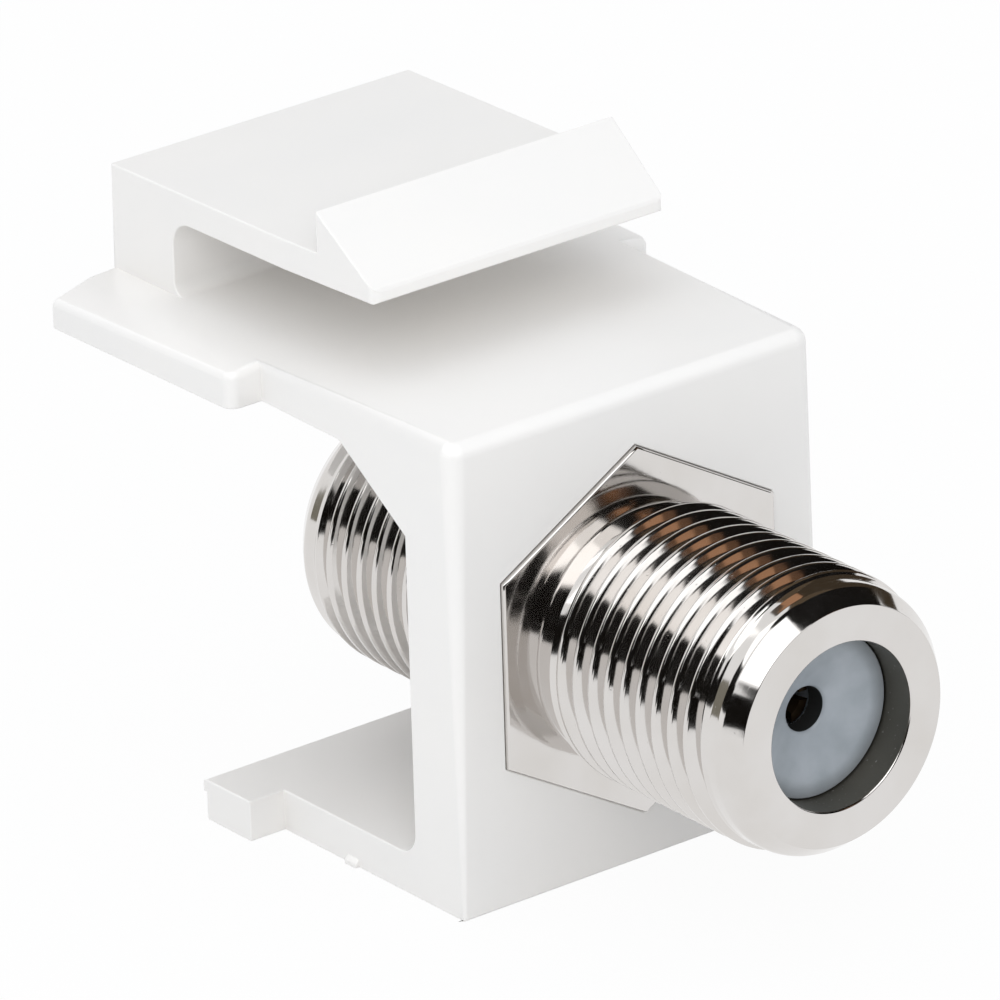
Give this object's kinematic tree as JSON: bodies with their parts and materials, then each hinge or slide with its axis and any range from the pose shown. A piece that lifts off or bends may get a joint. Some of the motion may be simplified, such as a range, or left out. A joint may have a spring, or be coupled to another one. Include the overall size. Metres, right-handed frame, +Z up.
{
  "type": "snap-in keystone insert with a double-ended F coaxial coupler",
  "caption": "White snap-in keystone insert with a nickel-plated, externally threaded F coaxial coupler, female at the front and the rear.",
  "frame": {"origin": "the coupler's axis at the front face of the housing, which is the middle of the panel opening", "axes": "+X across the width, -Y out of the front port along the coupler's axis, +Z up towards the snap latch"},
  "size_m": [0.0178, 0.0293, 0.0215],
  "materials": {
    "white_plastic": "moulded, semi-gloss",
    "nickel": "bright nickel plate",
    "insulator": "satin, slightly translucent",
    "contact_bronze": "bright"
  },
  "bodies": {
    "housing": {"housing": "white_plastic", "coupler_body": "nickel", "front_insulator": "insulator", "rear_insulator": "insulator", "centre_contact": "contact_bronze", "rear_bushing": "nickel"},
    "latch": {"latch": "white_plastic"}
  },
  "joints": [
    {"name": "latch_flex", "type": "hinge", "parent": "housing", "child": "latch", "pos_m": [0, 0.0151, 0.01098], "axis": [1, 0, 0], "range_deg": [0, 12], "stiffness_Nm_per_rad": 0.7}
  ]
}
